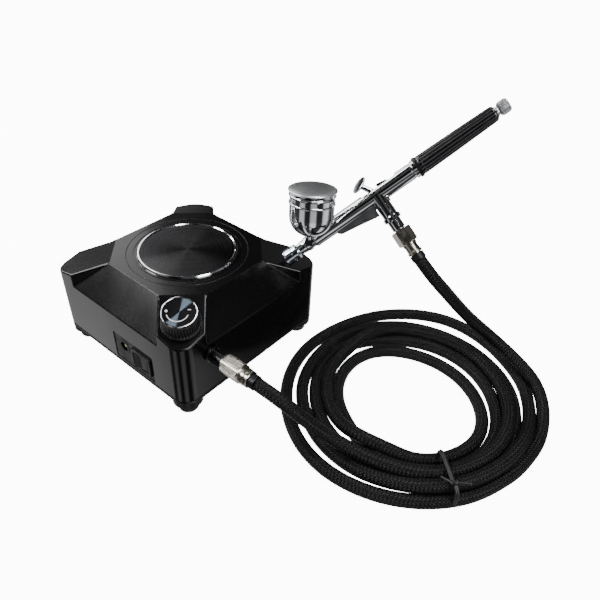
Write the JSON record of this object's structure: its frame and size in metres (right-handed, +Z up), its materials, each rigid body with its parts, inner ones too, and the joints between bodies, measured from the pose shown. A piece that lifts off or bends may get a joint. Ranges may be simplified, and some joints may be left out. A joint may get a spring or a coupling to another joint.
{
  "type": "airbrush compressor",
  "caption": "Palm-size square airbrush compressor on feet with pressure knob, ports, a coiled braided air hose and a dual-action airbrush with side cup",
  "frame": {"origin": "centre of the square footprint, on the surface that the feet stand on", "axes": "+Z up; -Y is the side with the power socket and rocker; +X is the side with the air outlet"},
  "size_m": [0.3108, 0.2197, 0.1797],
  "materials": {
    "piano_black": "deep gloss moulded shell",
    "black_base": "satin moulded",
    "foot_rubber": "matte",
    "zinc_screw": "zinc plated",
    "disc_black": "radially brushed, black anodised",
    "bright_ring": "polished",
    "knob_black": "satin with gripping grooves",
    "knob_disc": "radially brushed",
    "port_black": "fine texture",
    "rocker_black": "semi gloss",
    "contact_metal": "plated pin",
    "fitting_dark": "black oxide",
    "nickel": "warm nickel plate, knurled",
    "crimp_black": "satin black",
    "braid": "woven nylon braid",
    "tie_black": "coated wire",
    "motor_steel": "drawn can",
    "steel": "ground",
    "cast_alloy": "die cast",
    "piston_white": "moulded acetal",
    "circuit_green": "solder mask",
    "silicone": "clear silicone",
    "regulator_brass": "machined",
    "brush_chrome": "mirror plated",
    "cap_chrome": "bright, slightly blue",
    "web_grey": "matte grey",
    "cup_satin": "satin",
    "handle_black": "fluted, polished",
    "handle_dark": "black",
    "tail_grey": "knurled"
  },
  "bodies": {
    "compressor": {"top_housing": "piano_black", "base_plate": "black_base", "rubber_feet": "foot_rubber", "base_screws": "zinc_screw", "top_disc": "disc_black", "disc_ring": "bright_ring", "regulator_body": "regulator_brass", "regulator_inlet": "regulator_brass", "port_panel": "port_black", "dc_jack": "port_black", "dc_pin": "contact_metal", "switch_bezel": "port_black", "control_board": "circuit_green", "outlet_fitting": "fitting_dark", "hose_ferrule_a": "crimp_black", "motor_can": "motor_steel", "pump_cylinder": "cast_alloy", "pump_head": "cast_alloy", "motor_mount": "cast_alloy", "pump_grommets": "foot_rubber", "air_tube": "silicone", "hose_coil": "braid", "hose_lead": "braid", "hose_rise": "braid", "coil_tie": "tie_black", "hose_ferrule_b": "crimp_black", "airbrush_body": "brush_chrome", "cup_socket": "brush_chrome", "crown_cap": "cap_chrome", "nozzle_cap": "brush_chrome", "nozzle": "steel", "needle_spring": "steel", "air_valve_body": "brush_chrome", "valve_spring": "steel", "valve_screw": "regulator_brass", "grip_web": "web_grey", "handle_ring": "handle_dark", "handle": "handle_black"},
    "knob": {"knob_body": "knob_black", "knob_face": "knob_disc", "regulator_shaft": "steel"},
    "rocker": {"rocker_switch": "rocker_black"},
    "motor_rotor": {"motor_shaft": "steel", "eccentric": "steel"},
    "piston": {"piston_rod": "piston_white"},
    "plunger": {"valve_plunger": "steel"},
    "trigger_arm": {"trigger": "brush_chrome"},
    "needle_set": {"needle": "steel", "needle_chuck": "steel", "spring_guide": "steel", "aux_lever": "brush_chrome"},
    "cup": {"side_cup": "brush_chrome"},
    "lid": {"cup_lid": "cup_satin"},
    "tail": {"tail_knob": "tail_grey"},
    "nut_a": {"hose_nut_a": "nickel"},
    "nut_b": {"hose_nut_b": "nickel"}
  },
  "joints": [
    {"name": "knob_turn", "type": "hinge", "parent": "compressor", "child": "knob", "pos_m": [0.0502, -0.0502, 0.06604], "axis": [0.2299, -0.2299, 0.9457], "range_deg": [-140, 140]},
    {"name": "switch_rock", "type": "hinge", "parent": "compressor", "child": "rocker", "pos_m": [0.024, -0.0626, 0.0275], "axis": [0, 0, 1], "range_deg": [-20, 0]},
    {"name": "motor_spin", "type": "hinge", "parent": "compressor", "child": "motor_rotor", "pos_m": [0, 0.01, 0.034], "axis": [1, 0, 0], "continuous": true},
    {"name": "piston_stroke", "type": "slide", "parent": "compressor", "child": "piston", "axis": [0, 0, 1], "range_m": [-0.0025, 0.0025]},
    {"name": "trigger_press", "type": "slide", "parent": "compressor", "child": "plunger", "axis": [0.7738, -0.0115, -0.6333], "range_m": [0, 0.0025], "stiffness_N_per_m": 300},
    {"name": "trigger_pull", "type": "hinge", "parent": "plunger", "child": "trigger_arm", "pos_m": [0.09574, 0.08695, 0.11468], "axis": [-0.3755, 0.7968, -0.4733], "range_deg": [0, 12]},
    {"name": "needle_draw", "type": "slide", "parent": "compressor", "child": "needle_set", "axis": [0.5101, 0.6041, 0.6123], "range_m": [0, 0.0022], "stiffness_N_per_m": 200},
    {"name": "cup_swivel", "type": "hinge", "parent": "compressor", "child": "cup", "pos_m": [0.06821, 0.05111, 0.08675], "axis": [0.3755, -0.7968, 0.4733], "range_deg": [0, 75]},
    {"name": "lid_lift", "type": "slide", "parent": "cup", "child": "lid", "axis": [-0.096, 0.1261, 0.9874], "range_m": [0, 0.03]},
    {"name": "tail_turn", "type": "hinge", "parent": "compressor", "child": "tail", "pos_m": [0.14081, 0.14329, 0.17378], "axis": [0.5101, 0.6041, 0.6123], "range_deg": [0, 360]},
    {"name": "nut_a_spin", "type": "hinge", "parent": "compressor", "child": "nut_a", "pos_m": [0.088, -0.042, 0.046], "axis": [1, 0, 0], "continuous": true},
    {"name": "nut_b_spin", "type": "hinge", "parent": "compressor", "child": "nut_b", "pos_m": [0.12035, 0.08659, 0.09455], "axis": [-0.7738, 0.0115, 0.6333], "continuous": true}
  ],
  "couplings": [
    {"joint": "trigger_pull", "follows": "needle_draw", "rad_per_m": 86.9}
  ]
}
